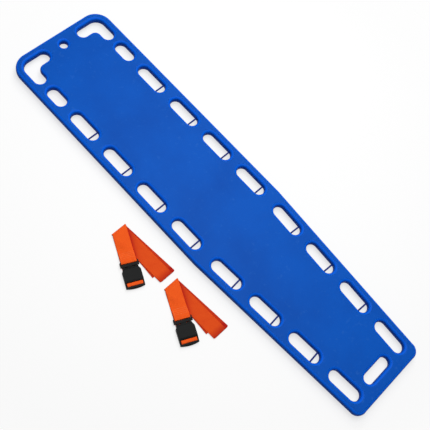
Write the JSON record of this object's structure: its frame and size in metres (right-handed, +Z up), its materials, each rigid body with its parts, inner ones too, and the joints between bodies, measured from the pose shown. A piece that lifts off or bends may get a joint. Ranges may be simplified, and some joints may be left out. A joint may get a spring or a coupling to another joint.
{
  "type": "spine board",
  "caption": "Long flat rescue board with hand slots all round, strap pins across the slots and two buckled webbing restraint straps.",
  "frame": {"origin": "centre of the underside, on the plane of the runners that the board stands on", "axes": "+Y towards the head end along the board, +Z up out of the patient's side, +X to the right"},
  "size_m": [0.6914, 1.8404, 0.046],
  "materials": {
    "shell_blue": "fine-textured moulded polyethylene",
    "foam_core": "rigid foam",
    "pins": "smooth dark plastic rod",
    "webbing": "woven orange webbing",
    "buckle_black": "satin moulded plastic"
  },
  "bodies": {
    "board": {"board_shell": "shell_blue", "foam_core": "foam_core", "filling_plug": "shell_blue", "pin_left_1": "pins", "pin_left_2": "pins", "pin_left_3": "pins", "pin_left_4": "pins", "pin_left_5": "pins", "pin_left_6": "pins", "pin_left_7": "pins", "pin_right_1": "pins", "pin_right_2": "pins", "pin_right_3": "pins", "pin_right_4": "pins", "pin_right_5": "pins", "pin_right_6": "pins", "pin_right_7": "pins"},
    "strap_1": {"strap_1_webbing": "webbing", "strap_1_tongue": "buckle_black"},
    "strap_1_buckle": {"strap_1_socket": "buckle_black", "strap_1_ladder_wrap": "webbing"},
    "strap_1_arm_left": {"strap_1_release_arm_left": "buckle_black"},
    "strap_1_arm_right": {"strap_1_release_arm_right": "buckle_black"},
    "strap_2": {"strap_2_webbing": "webbing", "strap_2_tongue": "buckle_black"},
    "strap_2_buckle": {"strap_2_socket": "buckle_black", "strap_2_ladder_wrap": "webbing"},
    "strap_2_arm_left": {"strap_2_release_arm_left": "buckle_black"},
    "strap_2_arm_right": {"strap_2_release_arm_right": "buckle_black"}
  },
  "joints": [
    {"name": "strap_1_lift", "type": "slide", "parent": "board", "child": "strap_1", "axis": [0, 0, 1], "range_m": [0, 0.3]},
    {"name": "strap_1_unbuckle", "type": "slide", "parent": "strap_1", "child": "strap_1_buckle", "axis": [-0.4368, -0.8996, 0], "range_m": [0, 0.04], "deforming": ["strap_1_release_arm_left", "strap_1_release_arm_right"]},
    {"name": "strap_1_press_left", "type": "hinge", "parent": "strap_1", "child": "strap_1_arm_left", "pos_m": [-0.42191, 0.02355, 0.0114], "axis": [0, 0, 1], "range_deg": [0, 8], "stiffness_Nm_per_rad": 0.4},
    {"name": "strap_1_press_right", "type": "hinge", "parent": "strap_1", "child": "strap_1_arm_right", "pos_m": [-0.38233, 0.00434, 0.0114], "axis": [0, 0, 1], "range_deg": [-8, 0], "stiffness_Nm_per_rad": 0.4},
    {"name": "strap_2_lift", "type": "slide", "parent": "board", "child": "strap_2", "axis": [0, 0, 1], "range_m": [0, 0.3]},
    {"name": "strap_2_unbuckle", "type": "slide", "parent": "strap_2", "child": "strap_2_buckle", "axis": [-0.4368, -0.8996, 0], "range_m": [0, 0.04], "deforming": ["strap_2_release_arm_left", "strap_2_release_arm_right"]},
    {"name": "strap_2_press_left", "type": "hinge", "parent": "strap_2", "child": "strap_2_arm_left", "pos_m": [-0.41691, -0.25344, 0.0114], "axis": [0, 0, 1], "range_deg": [0, 8], "stiffness_Nm_per_rad": 0.4},
    {"name": "strap_2_press_right", "type": "hinge", "parent": "strap_2", "child": "strap_2_arm_right", "pos_m": [-0.37733, -0.27266, 0.0114], "axis": [0, 0, 1], "range_deg": [-8, 0], "stiffness_Nm_per_rad": 0.4}
  ]
}
